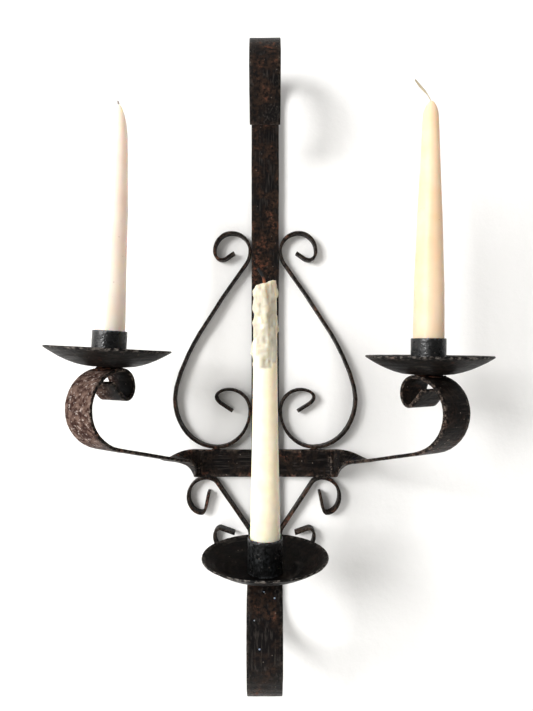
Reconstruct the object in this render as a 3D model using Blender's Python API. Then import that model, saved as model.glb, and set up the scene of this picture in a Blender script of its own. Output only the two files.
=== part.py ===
"""A wall sconce for three taper candles, made from flat iron bar, sheet pans and tube sockets.

Frame: metres, +Z up. The wall is the plane y = 0 and the sconce stands out from it towards -Y. The origin
is on the wall, behind the hole in the spine that the sconce hangs by.
"""

import math

import bmesh
import bpy
from mathutils import Matrix, Vector

MM = 0.001
GAP = 0.3 * MM  # left between pieces that touch

# Bar stock
BAR_WIDTH = 25 * MM
BAR_THICK = 2.5 * MM
SCROLL_DEPTH = 10 * MM
ARC_STEP = 9  # degrees of bend between two sections of a strap

# Spine: a strap in the plane x = 0, standing off the wall
SPINE_BACK = -6 * MM
SPINE_MIDDLE = SPINE_BACK - BAR_THICK / 2
SPINE_FRONT = SPINE_BACK - BAR_THICK
HANG_HOLE = 6 * MM

# Crossbar: the flat middle of the cross strap, in front of the spine
CROSS_BACK = SPINE_FRONT - GAP
CROSS_MIDDLE = CROSS_BACK - BAR_THICK / 2
CROSS_HEIGHT = -314.1 * MM
CROSS_TOP = CROSS_HEIGHT + BAR_WIDTH / 2
CROSS_BOTTOM = CROSS_HEIGHT - BAR_WIDTH / 2
CROSS_FLAT = 55 * MM  # half the flat length
TURN_HANDLE = 17 * MM  # how softly the strap turns into an arm
TWIST_END = 0.8  # share of the turn in which the quarter twist is done
ARM_ANGLE = math.radians(60)  # between the wall and an arm, seen from above

# Pans and sockets, in the frame of a light: its rim centre, with the socket along +Z
PAN_RADIUS = 44.8 * MM
PAN_FLAT = 13.5 * MM
PAN_DEPTH = 12.4 * MM
PAN_SHEET = 1.2 * MM
PAN_CURVE = 1.7  # power of the dish between the flat floor and the rim
PAN_FLOOR = PAN_SHEET - PAN_DEPTH
SOCKET_RADIUS = 12.4 * MM
SOCKET_BORE = 11.45 * MM
SOCKET_TOP = 13.5 * MM
CANDLE_FOOT = PAN_FLOOR + GAP

# Each light: rim centre in millimetres, and its lean to the right and to the front in degrees
LIGHTS = {
    "left": ((-112.9, -109.5, -211.7), (3.0, 0.0)),
    "right": ((117.8, -111.5, -217.2), (0.3, 1.0)),
    "centre": ((0.3, -119.5, -357.5), (0.0, 0.0)),
}

# Side arms: stations on the middle of the strap as outward distance from the pan's centre and height, in
# millimetres, and the heading in degrees: the straight run, the C and its top below the pan
ARMS = {
    "left": ((-67.7, -302.4, 15.5), (1.0, -283.35, 15.5), (27.6, -253.5, 90), (-1.0, -226.3, 180)),
    "right": ((-67.7, -303.6, 14.6), (-2.0, -286.5, 14.6), (25.6, -256.0, 90), (-2.5, -231.3, 180)),
}

# The scroll that ends each side arm, as outward distance and height from the top of the C
ARM_SCROLL = (
    (-12.0, -12.5, -90),
    (-5.2, -21.4, 0),
    (-1.2, -19.6, 47),
    (9.0, -8.9, 47),
)

# Strap outlines as stations on the middle of the strap: two coordinates in millimetres and the heading in
# degrees. The strap runs straight between two stations of one heading and rounds the corner between others.
CENTRE_ARM_TOP = (-101.0, -371.05)
SPINE_ROUTE = (
    (-59.6, -27.0, 126),
    (-71.9, -10.0, 126),
    (-78.75, 11.0, 90),
    (-43.0, 46.75, 0),
    (-7.25, 11.0, -90),
    (-7.25, -436.0, -90),
    (-38.0, -466.75, 180),
    (-89.0, -466.75, 180),
    (-135.25, -416.0, 90),
    (*CENTRE_ARM_TOP, 0),
    (-86.5, -386.0, -90),
    (-86.5, -394.0, -90),
    (-92.0, -400.5, 180),
    (-97.0, -398.0, 133),
    (-108.0, -386.0, 133),
)
HEART_ROUTE = (
    (28.3, -121.8, -36),
    (35.2, -126.8, -36),
    (40.0, -128.3, 0),
    (46.4, -120.5, 90),
    (30.8, -103.5, 180),
    (14.05, -119.2, -90),
    (17.4, -131.9, -53.5),
    (59.9, -194.9, -58.5),
    (71.3, -216.1, -65),
    (83.05, -256.0, -90),
    (44.6, -300.05, 180),
    (14.05, -266.2, 90),
    (32.8, -247.15, 0),
    (44.7, -254.0, -90),
    (40.2, -260.3, -147),
    (29.7, -267.1, -147),
)
LOWER_ROUTE = (
    (50.7, -340.3, -79),
    (53.6, -355.0, -79),
    (57.2, -360.4, 0),
    (69.4, -344.8, 90),
    (52.8, -328.15, 180),
    (43.6, -332.4, -124),
    (15.4, -374.1, -124),
    (14.05, -381.0, -90),
    (30.0, -396.65, 0),
    (45.7, -381.0, 90),
    (39.7, -374.6, -160),
    (27.5, -379.0, -160),
)
SCROLL_TOUCH = BAR_WIDTH / 2 + GAP + BAR_THICK / 2  # middle of a strap that touches the spine's edge
LOWER_FLARE = {"left": 1.02, "right": 0.98}  # the lower pair isn't quite even

# Candles: height above the rim and radius, in millimetres, from the shoulder of the socket to the tip
TAPER_PROFILE = (
    (14, 11.1), (55, 10.5), (101, 8.8), (168, 5.8), (175, 5.4), (180, 3.7), (182.6, 1.7), (183.6, 0)
)
LEFT_PROFILE = ((14, 10.9), (55, 9.6), (101, 8.3), (154, 6.2), (164, 5.2), (171, 3.7), (176, 2.0), (178.6, 0))
BURNT_PROFILE = ((14, 10.8), (75, 9.5), (115, 8.8), (160, 8.4), (188, 8.0), (192, 6.6), (193, 0))
TIP_BEND = {"left": -2.0 * MM, "right": 0.0, "centre": 0.0}
TIP_SHARPNESS = 9  # power of the height, so that only the tip bends
TOP_SLANT = 0.35  # how far the burnt top falls to the left, per unit of width
SLANT_START = 0.96  # share of the height above which the top slants
CANDLE_FOOT_RADIUS = 10.9 * MM
CANDLE_SIDES = 28

# Weld beads, in millimetres
SPINE_JOINTS = {"heart_top": -119.2, "heart_foot": -266.2, "lower": -381.0}
HEART_JOINT = 44.6
LOWER_JOINT = 50.8
BEAD_LEG = 3 * MM
BEAD_LENGTH = 9 * MM
THIN_LEG = 1.8 * MM
THIN_LENGTH = 18 * MM
BEAD_FULLNESS = 0.6  # how far a bead's middle stands out, as a share of the sum of its legs
# Pan beads: how far inside the top of the C they start and at what height, then the slopes, in degrees,
# of the pan above and of the strap below
PAN_BEADS = {
    "left": (4.5, -225.15, -2, 22),
    "right": (4.5, -230.4, 0, 22),
    "centre": (4.5, -369.5, 17, 20),
}
PAN_BEAD_LEG = 4.5 * MM
PAN_BEAD_LENGTH = 16 * MM

# Wicks: bends from the top of the wax as sideways and upward distances, with radii, in millimetres
WICKS = {
    "left": ((0, 0, 0.8), (-0.5, 1.3, 0.8), (-0.8, 2.4, 0.6)),
    "right": ((0, 0, 0.45), (-2.1, 3.6, 0.45), (-4.3, 6.3, 0.6), (-7.8, 10.2, 0.85), (-11.1, 14.5, 0.7)),
    "centre": ((0, 0, 1.1), (-0.6, 3.0, 1.0), (-2.4, 6.5, 1.1), (-4.6, 9.6, 0.9)),
}
WICK_SIDES = 8

IRON = ((0.030, 0.024, 0.022), 0.5, 0.75)
IVORY_WAX = ((0.86, 0.74, 0.62), 0.45, 0.0)
CREAM_WAX = ((0.87, 0.70, 0.44), 0.45, 0.0)
PALE_WAX = ((0.90, 0.86, 0.70), 0.45, 0.0)
COTTON = ((0.68, 0.55, 0.38), 0.9, 0.0)
CHAR = ((0.02, 0.017, 0.015), 0.95, 0.0)
WELD = ((0.10, 0.05, 0.035), 0.7, 0.5)


def clear_scene():
    """Takes every object out of the open scene."""
    for old in list(bpy.data.objects):
        bpy.data.objects.remove(old, do_unlink=True)


def add_piece(name, bm, finish, parent=None):
    """Makes an object with its own Principled material from a finished bmesh."""
    bmesh.ops.remove_doubles(bm, verts=bm.verts, dist=1e-6)
    bmesh.ops.recalc_face_normals(bm, faces=bm.faces)
    mesh = bpy.data.meshes.new(name)
    bm.to_mesh(mesh)
    bm.free()
    mesh.shade_smooth()
    mesh.set_sharp_from_angle(angle=math.radians(30))
    colour, roughness, metallic = finish
    look = bpy.data.materials.new(name)
    look.use_nodes = True
    shader = look.node_tree.nodes["Principled BSDF"]
    shader.inputs["Base Color"].default_value = (*colour, 1)
    shader.inputs["Roughness"].default_value = roughness
    shader.inputs["Metallic"].default_value = metallic
    mesh.materials.append(look)
    piece = bpy.data.objects.new(name, mesh)
    piece.parent = parent
    bpy.context.scene.collection.objects.link(piece)
    return piece


def add_loft(name, rings, finish, parent=None):
    """Joins rings of points, each with the same number of points, into one capped solid."""
    bm = bmesh.new()
    loops = [[bm.verts.new(point) for point in ring] for ring in rings]
    for low, high in zip(loops, loops[1:]):
        for i in range(len(low)):
            bm.faces.new((low[i - 1], low[i], high[i], high[i - 1]))
    bm.faces.new(loops[0])
    bm.faces.new(loops[-1])
    return add_piece(name, bm, finish, parent)


def add_turned(name, profile, sides, finish, parent=None, closed=False):
    """Spins a profile of (radius, height) points about Z. A closed profile makes a tube."""
    bm = bmesh.new()
    verts = [bm.verts.new((radius, 0, height)) for radius, height in profile]
    edges = [bm.edges.new(pair) for pair in zip(verts, verts[1:])]
    if closed:
        edges.append(bm.edges.new((verts[-1], verts[0])))
    bmesh.ops.spin(
        bm,
        geom=verts + edges,
        cent=(0, 0, 0),
        axis=(0, 0, 1),
        angle=math.tau,
        steps=sides,
        use_merge=True,
    )
    return add_piece(name, bm, finish, parent)


def heading_vector(degrees):
    angle = math.radians(degrees)
    return Vector((math.cos(angle), math.sin(angle)))


def round_corner(start, start_way, end, end_way, turn, steps):
    """A Bezier that leaves start along start_way and reaches end along end_way, near to a round arc."""
    across = start_way.cross(end_way)
    between = end - start
    soft = 4 / 3 * math.tan(turn / 4) / math.tan(turn / 2)
    first = start + start_way * (soft * between.cross(end_way) / across)
    last = end - end_way * (soft * start_way.cross(between) / across)
    return bezier((start, first, last, end), steps)


def bezier(points, steps):
    """(point, direction) pairs along a cubic Bezier, after its start."""
    a, b, c, d = points
    run = []
    for i in range(1, steps + 1):
        t = i / steps
        s = 1 - t
        point = a * s**3 + b * 3 * s * s * t + c * 3 * s * t * t + d * t**3
        way = (b - a) * s * s + (c - b) * 2 * s * t + (d - c) * t * t
        run.append((point, way.normalized()))
    return run


def follow(stations):
    """(point, direction) pairs in metres along a strap's route through its stations."""
    spots = [(Vector((a, b)) * MM, heading_vector(way), way) for a, b, way in stations]
    run = [spots[0][:2]]
    for (start, start_way, a), (end, end_way, b) in zip(spots, spots[1:]):
        turn = (b - a + 180) % 360 - 180
        if abs(turn) < 1:
            run.append((end, end_way))
            continue
        steps = max(2, round(abs(turn) / ARC_STEP))
        run += round_corner(start, start_way, end, end_way, math.radians(turn), steps)
    return run


def section(middle, wide, thick, width):
    """The four corners of a strap's cross-section. wide and thick are unit vectors."""
    half_width = wide * (width / 2)
    half_thick = thick * (BAR_THICK / 2)
    return [
        middle + half_width + half_thick,
        middle - half_width + half_thick,
        middle - half_width - half_thick,
        middle + half_width - half_thick,
    ]


def make_spine():
    """The strap in the plane x = 0: top curl, back bar and centre arm, with the hanging hole."""
    rings = []
    for point, way in follow(SPINE_ROUTE):
        middle = Vector((0, point.x, point.y))
        rings.append(section(middle, Vector((1, 0, 0)), Vector((0, -way.y, way.x)), BAR_WIDTH))
    spine = add_loft("spine", rings, IRON)
    bm = bmesh.new()
    bmesh.ops.create_cone(
        bm, cap_ends=True, segments=24, radius1=HANG_HOLE / 2, radius2=HANG_HOLE / 2, depth=4 * BAR_THICK,
        matrix=Matrix.Translation((0, SPINE_MIDDLE, 0)) @ Matrix.Rotation(math.pi / 2, 4, "X"),
    )
    cutter = add_piece("hang_hole_cutter", bm, IRON)
    cutter.hide_render = True
    cutter.display_type = "WIRE"
    hole = spine.modifiers.new("hang_hole", "BOOLEAN")
    hole.object = cutter
    hole.solver = "EXACT"


def make_scroll(name, route, side, flare=1.0):
    """A flat scroll on edge against the wall. side is 1 on the right and -1 on the left."""
    rings = []
    for point, way in follow(route):
        out = SCROLL_TOUCH + (point.x - SCROLL_TOUCH) * flare
        middle = Vector((side * out, -SCROLL_DEPTH / 2, point.y))
        rings.append(section(middle, Vector((0, 1, 0)), Vector((-side * way.y, 0, way.x)), SCROLL_DEPTH))
    add_loft(name, rings, IRON)


def arm_route(side_name):
    """A side arm and its end scroll, as (outward distance, height) and direction pairs."""
    stations = ARMS[side_name]
    top_out, top_height = stations[-1][:2]
    scroll = [(top_out + out, top_height + height, way) for out, height, way in ARM_SCROLL]
    return follow(list(stations) + scroll)


def half_cross_strap(side_name, side):
    """Sections from the end of the crossbar's flat to the tip of the arm's scroll."""
    up = Vector((0, 0, 1))
    outward = Vector((side * math.cos(ARM_ANGLE), -math.sin(ARM_ANGLE), 0))
    far = Vector((side * math.sin(ARM_ANGLE), math.cos(ARM_ANGLE), 0))
    pan = Vector(LIGHTS[side_name][0]) * MM
    run = []
    for point, way in arm_route(side_name):
        place = Vector((pan.x, pan.y, 0)) + outward * point.x + up * point.y
        run.append((place, outward * way.x + up * way.y))
    start = Vector((side * CROSS_FLAT, CROSS_MIDDLE, CROSS_HEIGHT))
    start_way = Vector((side, 0, 0))
    end, end_way = run[0]
    handles = (start, start + start_way * TURN_HANDLE, end - end_way * TURN_HANDLE, end)
    rings = [section(start, up, Vector((0, 1, 0)), BAR_WIDTH)]
    steps = 16
    for i, (point, way) in enumerate(bezier(handles, steps), 1):
        t = min(1.0, i / steps / TWIST_END)
        twist = math.pi / 2 * t * t * (3 - 2 * t)
        level = (way.cross(up) * -side).normalized()
        upright = (up - way * up.dot(way)).normalized()
        wide = upright * math.cos(twist) + level * math.sin(twist)
        rings.append(section(point, wide, wide.cross(way) * side, BAR_WIDTH))
    for point, way in run[1:]:
        rings.append(section(point, far, far.cross(way) * side, BAR_WIDTH))
    return rings


def make_cross_strap():
    """One strap: the crossbar, and at each end a quarter twist into a side arm."""
    left = half_cross_strap("left", -1)
    right = half_cross_strap("right", 1)
    add_loft("cross_strap", left[::-1] + right, IRON)


def add_weld(name, corner, faces, length, leg):
    """A fillet bead in the corner between two faces, given as unit vectors. Its ends taper."""
    face_a, face_b = faces
    along = face_a.cross(face_b).normalized()
    rings = []
    for share, size in ((-0.5, 0.45), (-0.36, 0.95), (0.0, 1.0), (0.36, 0.95), (0.5, 0.45)):
        root = corner + along * (share * length)
        reach = leg * size
        belly = root + (face_a + face_b) * (reach * BEAD_FULLNESS)
        rings.append([root, root + face_a * reach, belly, root + face_b * reach])
    add_loft(name, rings, WELD)


def make_scroll_welds(side_name, side):
    """Beads behind the spine and behind the crossbar, where one side's scrolls touch them."""
    inward = Vector((-side, 0, 0))
    back = Vector((0, 1, 0))
    up = Vector((0, 0, 1))
    for joint, height in SPINE_JOINTS.items():
        corner = Vector((side * BAR_WIDTH / 2, SPINE_BACK + GAP, height * MM))
        add_weld(f"weld_{joint}_spine_{side_name}", corner, (inward, back), BEAD_LENGTH, BEAD_LEG)
    heart = Vector((side * HEART_JOINT * MM, CROSS_BACK + GAP, CROSS_TOP))
    add_weld("weld_heart_crossbar_" + side_name, heart, (back, -up), BEAD_LENGTH, BEAD_LEG)
    lower = Vector((side * LOWER_JOINT * MM, CROSS_BACK + GAP, CROSS_BOTTOM))
    add_weld("weld_lower_crossbar_" + side_name, lower, (back, up), BEAD_LENGTH, BEAD_LEG)


def make_spine_welds():
    """Thin beads along the crossbar's edges where it crosses the spine, and one under the centre pan."""
    front = Vector((0, -1, 0))
    up = Vector((0, 0, 1))
    over = Vector((0, CROSS_BACK, CROSS_TOP + GAP))
    under = Vector((0, CROSS_BACK, CROSS_BOTTOM - GAP))
    add_weld("weld_crossbar_top", over, (front, up), THIN_LENGTH, THIN_LEG)
    add_weld("weld_crossbar_bottom", under, (front, -up), THIN_LENGTH, THIN_LEG)
    make_pan_weld("centre", Vector((0, CENTRE_ARM_TOP[0] * MM, 0)), Vector((0, 1, 0)))


def make_arm_weld(side_name, side):
    """The bead between a side arm and its pan, on the wall's side of the C's top."""
    outward = Vector((side * math.cos(ARM_ANGLE), -math.sin(ARM_ANGLE), 0))
    pan = Vector(LIGHTS[side_name][0]) * MM
    top = Vector((pan.x, pan.y, 0)) + outward * (ARMS[side_name][-1][0] * MM)
    make_pan_weld(side_name, top, -outward)


def make_pan_weld(side_name, top, inward):
    """A bead in the wedge between a pan's floor and the strap under it, inward of the strap's top."""
    inside, height, pan_slope, strap_slope = PAN_BEADS[side_name]
    up = Vector((0, 0, 1))
    corner = top + inward * (inside * MM) + up * (height * MM)
    rise = math.radians(pan_slope)
    fall = math.radians(strap_slope)
    faces = (
        inward * math.cos(rise) + up * math.sin(rise),
        inward * math.cos(fall) - up * math.sin(fall),
    )
    add_weld("weld_pan_" + side_name, corner, faces, PAN_BEAD_LENGTH, PAN_BEAD_LEG)


def add_light_frame(side_name):
    """An empty at a pan's rim centre, leaned as its light leans. The socket and joint axis is its Z."""
    place, (lean_right, lean_front) = LIGHTS[side_name]
    frame = bpy.data.objects.new("light_" + side_name, None)
    frame.location = Vector(place) * MM
    frame.rotation_euler = (math.radians(lean_front), math.radians(lean_right), 0)
    bpy.context.scene.collection.objects.link(frame)
    return frame


def make_pan(side_name, frame):
    """A dished sheet pan: a flat floor that curves up to a plain rim."""
    steps = 6
    outline = []
    for i in range(steps + 1):
        t = i / steps
        radius = PAN_FLAT + (PAN_RADIUS - PAN_FLAT) * t
        outline.append((radius, -PAN_DEPTH * (1 - t**PAN_CURVE)))
    under = [(0, -PAN_DEPTH)] + outline
    # The sheet slopes up towards the rim, so its inner face is a little nearer the middle.
    inside = [(radius - PAN_SHEET / 3, height + PAN_SHEET) for radius, height in outline]
    inside = [(0, PAN_FLOOR)] + inside
    add_turned("drip_pan_" + side_name, under + inside[::-1], 44, IRON, frame)


def make_socket(side_name, frame):
    """A plain tube on the pan's floor."""
    foot = PAN_FLOOR + GAP
    profile = (
        (SOCKET_RADIUS, foot),
        (SOCKET_RADIUS, SOCKET_TOP),
        (SOCKET_BORE, SOCKET_TOP),
        (SOCKET_BORE, foot),
    )
    add_turned("candle_socket_" + side_name, profile, 36, IRON, frame, closed=True)


def make_candle(side_name, frame, profile, finish):
    """A taper whose foot stands in its socket. Its tip may bend, and a burnt top slants."""
    points = [(0, CANDLE_FOOT), (CANDLE_FOOT_RADIUS, CANDLE_FOOT)]
    points += [(radius * MM, height * MM) for height, radius in profile]
    candle = add_turned("candle_" + side_name, points, CANDLE_SIDES, finish, frame)
    tip = points[-1][1]
    for vertex in candle.data.vertices:
        share = max(0.0, vertex.co.z / tip)
        if side_name == "centre" and vertex.co.z > SLANT_START * tip:
            vertex.co.z += TOP_SLANT * vertex.co.x
        vertex.co.x += TIP_BEND[side_name] * share**TIP_SHARPNESS
    return tip


def make_wick(side_name, frame, tip, finish):
    """A wick from just above the wax, bent through its stations."""
    rings = []
    stations = WICKS[side_name]
    for i, (x, z, radius) in enumerate(stations):
        before = stations[max(0, i - 1)]
        after = stations[min(len(stations) - 1, i + 1)]
        way = Vector((after[0] - before[0], 0, after[1] - before[1])).normalized()
        side = Vector((way.z, 0, -way.x))
        middle = Vector((x * MM + TIP_BEND[side_name], 0, z * MM + tip + GAP))
        ring = []
        for k in range(WICK_SIDES):
            angle = math.tau * k / WICK_SIDES
            ring.append(middle + (side * math.cos(angle) + Vector((0, 1, 0)) * math.sin(angle)) * radius * MM)
        rings.append(ring)
    add_loft("wick_" + side_name, rings, finish, frame)


def make_light(side_name, profile, wax, wick):
    """A pan, its socket, its candle and its wick, on the frame of one light."""
    frame = add_light_frame(side_name)
    make_pan(side_name, frame)
    make_socket(side_name, frame)
    tip = make_candle(side_name, frame, profile, wax)
    make_wick(side_name, frame, tip, wick)


def main():
    clear_scene()
    make_spine()
    make_cross_strap()
    for side_name, side in (("left", -1), ("right", 1)):
        make_scroll("heart_scroll_" + side_name, HEART_ROUTE, side)
        make_scroll("lower_scroll_" + side_name, LOWER_ROUTE, side, LOWER_FLARE[side_name])
        make_scroll_welds(side_name, side)
        make_arm_weld(side_name, side)
    make_spine_welds()
    make_light("left", LEFT_PROFILE, IVORY_WAX, COTTON)
    make_light("right", TAPER_PROFILE, CREAM_WAX, COTTON)
    make_light("centre", BURNT_PROFILE, PALE_WAX, CHAR)


main()
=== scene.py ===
"""A hand-made wall sconce of flat iron strap, with three taper candles over round drip pans.

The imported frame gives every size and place. This file rounds and roughens the ironwork, lets wax run down
the burnt candle, draws out the wicks and weld beads, and gives each piece the finish of its material.
"""

import logging
import math
from dataclasses import dataclass
from enum import Enum

import bmesh
import bpy
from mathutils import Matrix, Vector
from mathutils.bvhtree import BVHTree


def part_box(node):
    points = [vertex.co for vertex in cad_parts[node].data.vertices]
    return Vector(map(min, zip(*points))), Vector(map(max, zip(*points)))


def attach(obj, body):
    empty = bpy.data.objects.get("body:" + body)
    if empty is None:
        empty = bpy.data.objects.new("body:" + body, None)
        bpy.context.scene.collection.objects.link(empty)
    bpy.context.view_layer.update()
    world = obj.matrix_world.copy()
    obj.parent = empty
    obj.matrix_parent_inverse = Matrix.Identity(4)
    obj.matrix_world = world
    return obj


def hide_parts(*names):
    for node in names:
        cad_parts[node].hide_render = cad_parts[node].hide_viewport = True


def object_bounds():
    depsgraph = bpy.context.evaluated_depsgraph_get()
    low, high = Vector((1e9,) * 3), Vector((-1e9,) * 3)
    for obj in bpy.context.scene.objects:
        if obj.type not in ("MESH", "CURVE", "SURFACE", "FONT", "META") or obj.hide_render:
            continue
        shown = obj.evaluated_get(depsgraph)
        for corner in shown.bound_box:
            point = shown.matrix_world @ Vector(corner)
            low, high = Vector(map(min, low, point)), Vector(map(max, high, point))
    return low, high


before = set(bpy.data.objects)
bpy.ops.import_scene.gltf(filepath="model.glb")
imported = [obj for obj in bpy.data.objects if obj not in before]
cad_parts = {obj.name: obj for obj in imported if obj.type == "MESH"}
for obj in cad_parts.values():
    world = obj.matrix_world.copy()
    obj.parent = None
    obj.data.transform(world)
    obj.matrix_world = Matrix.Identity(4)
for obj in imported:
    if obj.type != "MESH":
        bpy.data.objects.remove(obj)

CAD_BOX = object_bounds()
MM = 0.001
UP = Vector((0, 0, 1))
FRONT = Vector((0, -1, 0))
SHARP_BEND = math.radians(50)  # an edge that bends by more than this is rounded
SMOOTH_BEND = math.radians(40)  # faces that meet at less than this are shaded as one surface
RUN_SIDE_FADE_MM = 1.2  # over what width a run of wax thins out at its sides
RUN_END_FADE_MM = 1.5  # and at its ends
log = logging.getLogger("sconce")


class Side(Enum):
    """The three lights, as seen from the front."""

    LEFT = "left"
    RIGHT = "right"
    CENTRE = "centre"


class Slot(Enum):
    """Names for the material slots."""

    IRON = "wrought_iron"
    WELD = "weld_metal"
    IVORY = "wax_ivory"
    CREAM = "wax_cream"
    PALE = "wax_pale"
    COTTON = "wick_cotton"
    BURNT = "wick_burnt"


# ---------------------------------------------------------------- materials


def linear(hex_colour: str) -> tuple[float, float, float, float]:
    """Turns an sRGB hex colour into linear light.

    Args:
        hex_colour: the colour, such as "#2a1d18".

    Returns:
        Red, green, blue and an alpha of 1.
    """
    parts = [int(hex_colour[i : i + 2], 16) / 255 for i in (1, 3, 5)]
    red, green, blue = (c / 12.92 if c <= 0.04045 else ((c + 0.055) / 1.055) ** 2.4 for c in parts)
    return red, green, blue, 1.0


def per_metre(size_mm: float) -> float:
    """Turns a size into a texture's scale, on Object coordinates in metres.

    Args:
        size_mm: how far apart the texture's features are.

    Returns:
        The scale.
    """
    return 1 / (size_mm * MM)


def add_node(tree: bpy.types.NodeTree, kind: str, values: dict[str | int, object]) -> bpy.types.Node:
    """Adds a node with its settings and links.

    Args:
        tree: the node tree that gets the node.
        kind: the node's type, without "ShaderNode".
        values: a property name, input name or input index for each value. A socket is linked.

    Returns:
        The new node.
    """
    node = tree.nodes.new("ShaderNode" + kind)
    for key, value in values.items():
        if isinstance(key, str) and hasattr(node, key):
            setattr(node, key, value)
        elif isinstance(value, bpy.types.NodeSocket):
            tree.links.new(value, node.inputs[key])
        else:
            node.inputs[key].default_value = value
    return node


def blank_material(name: str) -> tuple[bpy.types.Material, bpy.types.NodeTree, bpy.types.NodeSocket]:
    """Makes an empty node material.

    Args:
        name: the material's name.

    Returns:
        The material, its node tree and the Object coordinates' socket.
    """
    material = bpy.data.materials.new(name)
    material.use_nodes = True
    tree = material.node_tree
    tree.nodes.clear()
    place = add_node(tree, "TexCoord", {}).outputs["Object"]
    return material, tree, place


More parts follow.
